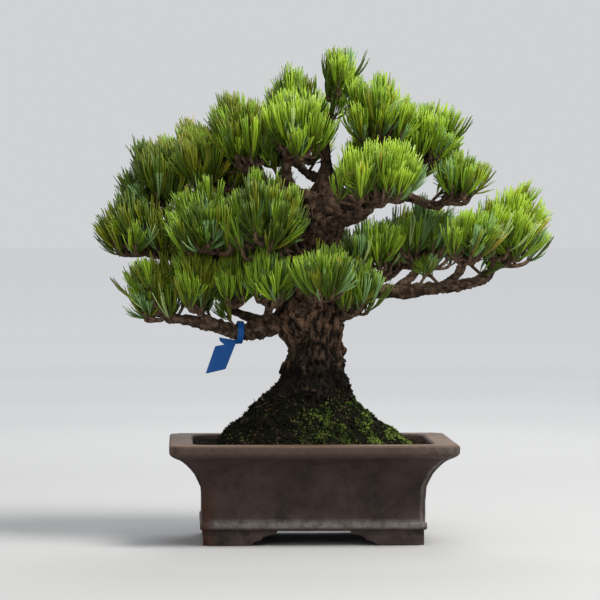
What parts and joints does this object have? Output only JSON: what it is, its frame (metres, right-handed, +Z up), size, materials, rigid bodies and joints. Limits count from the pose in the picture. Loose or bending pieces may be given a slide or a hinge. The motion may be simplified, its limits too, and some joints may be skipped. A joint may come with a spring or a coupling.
{
  "type": "shohin japanese white pine bonsai",
  "caption": "Small bonsai white pine: flared trunk, long low boughs and domed needle pads, standing in a footed brown stoneware pot with moss over its soil.",
  "frame": {"origin": "bottom centre of the whole tree's bounding box, on the plane that the pot's feet stand on", "axes": "+X to the right and -Y to the front as the tree is shown, +Z up the trunk"},
  "size_m": [0.2608, 0.1532, 0.2722],
  "materials": {
    "stoneware": "unglazed brown stoneware with a pale bloom",
    "soil": "dark granular potting soil",
    "moss": "short dark green moss",
    "bark": "dark flaking bark",
    "young_bark": "light brown young bark",
    "needles": "green pine needles on brown twigs",
    "blue_plastic": "plain blue plastic"
  },
  "bodies": {
    "root": {"bough_back_left_high": "bark", "bough_back_left_low": "bark", "bough_back_low": "bark", "bough_back_right_high": "bark", "bough_back_right_low": "bark", "bough_crown_back": "bark", "bough_crown_front": "young_bark", "bough_crown_left": "bark", "bough_crown_right": "young_bark", "bough_front": "bark", "bough_front_left": "young_bark", "bough_left_far": "young_bark", "bough_left_front": "young_bark", "bough_left_high": "bark", "bough_left_low": "bark", "bough_left_low_inner": "young_bark", "bough_left_low_mid": "young_bark", "bough_left_mid": "bark", "bough_right_front": "bark", "bough_right_high": "bark", "bough_right_low": "bark", "bough_right_low_front": "young_bark", "bough_right_low_mid": "young_bark", "bough_right_lowest": "young_bark", "bough_right_out": "young_bark", "label": "blue_plastic", "moss": "moss", "needles_apex": "needles", "needles_back_left_high": "needles", "needles_back_left_low": "needles", "needles_back_low": "needles", "needles_back_right_high": "needles", "needles_back_right_low": "needles", "needles_crown_back": "needles", "needles_crown_front": "needles", "needles_crown_left": "needles", "needles_crown_rear": "needles", "needles_crown_right": "needles", "needles_front": "needles", "needles_front_high": "needles", "needles_front_left": "needles", "needles_left_far_high": "needles", "needles_left_far_low": "needles", "needles_left_front": "needles", "needles_left_high": "needles", "needles_left_low_inner": "needles", "needles_left_low_mid": "needles", "needles_left_low_tip": "needles", "needles_right_front": "needles", "needles_right_high": "needles", "needles_right_inner": "needles", "needles_right_low_front": "needles", "needles_right_low_mid": "needles", "needles_right_low_tip": "needles", "needles_right_lowest": "needles", "needles_right_out": "needles", "pot": "stoneware", "soil": "soil", "trunk": "bark"}
  },
  "joints": []
}
